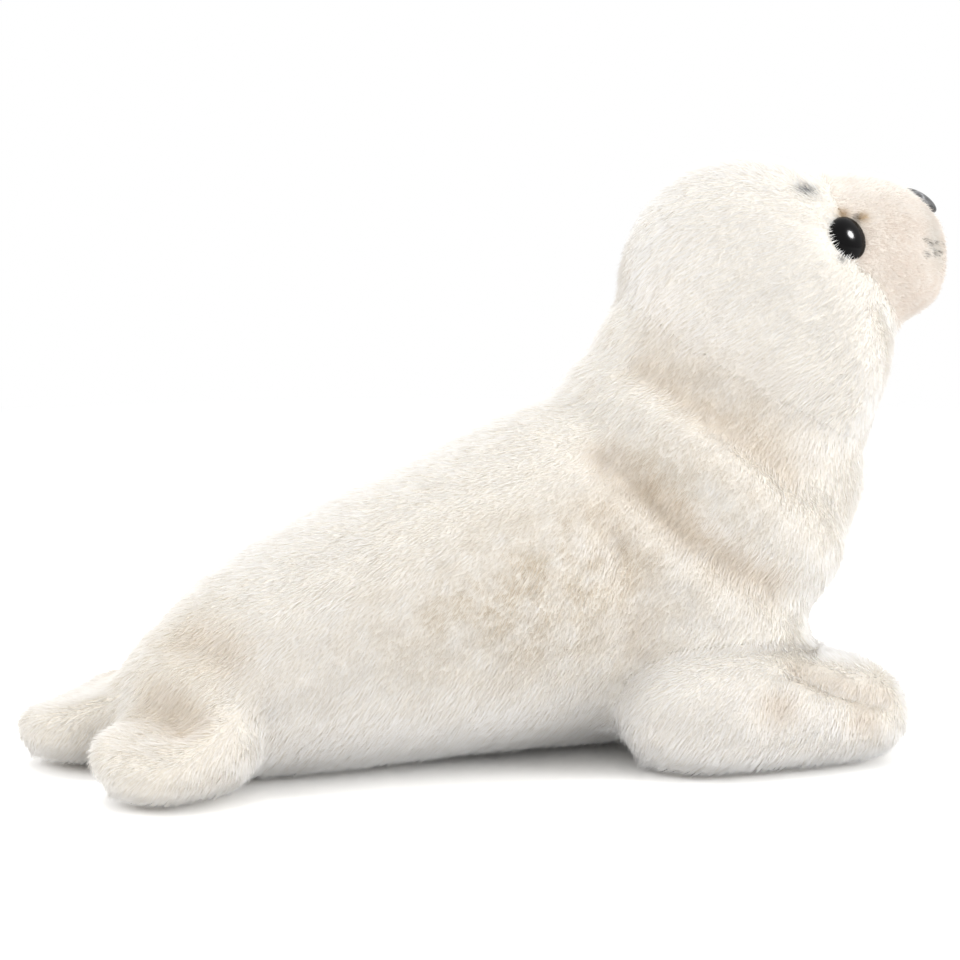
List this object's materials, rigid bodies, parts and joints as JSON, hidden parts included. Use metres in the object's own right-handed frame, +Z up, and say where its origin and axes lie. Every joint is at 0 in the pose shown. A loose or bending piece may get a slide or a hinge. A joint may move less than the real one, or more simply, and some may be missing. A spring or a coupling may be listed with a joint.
{
  "type": "plush seal",
  "caption": "Plush seal pup lying on its belly with raised head, folded neck, short-pile face with black eyes and nose, stuffed front flippers and cupped hind flippers.",
  "frame": {"origin": "on the floor, under the middle of the footprint", "axes": "+X along the seal from its hind flippers to its face, +Z up, +Y to the seal's own left"},
  "size_m": [0.3394, 0.1742, 0.2137],
  "materials": {
    "long_pile": "long-pile white plush",
    "short_pile": "short-pile cream plush",
    "black_plastic": "polished",
    "black_thread": "satin thread",
    "white_nylon": "moulded"
  },
  "bodies": {
    "root": {"body": "long_pile", "head": "long_pile", "front_flipper_right": "long_pile", "front_flipper_left": "long_pile", "hind_flipper_right": "long_pile", "hind_flipper_left": "long_pile", "muzzle": "short_pile", "eye_right": "black_plastic", "eye_left": "black_plastic", "nose": "black_thread", "eye_washer_right": "white_nylon", "eye_washer_left": "white_nylon"}
  },
  "joints": []
}
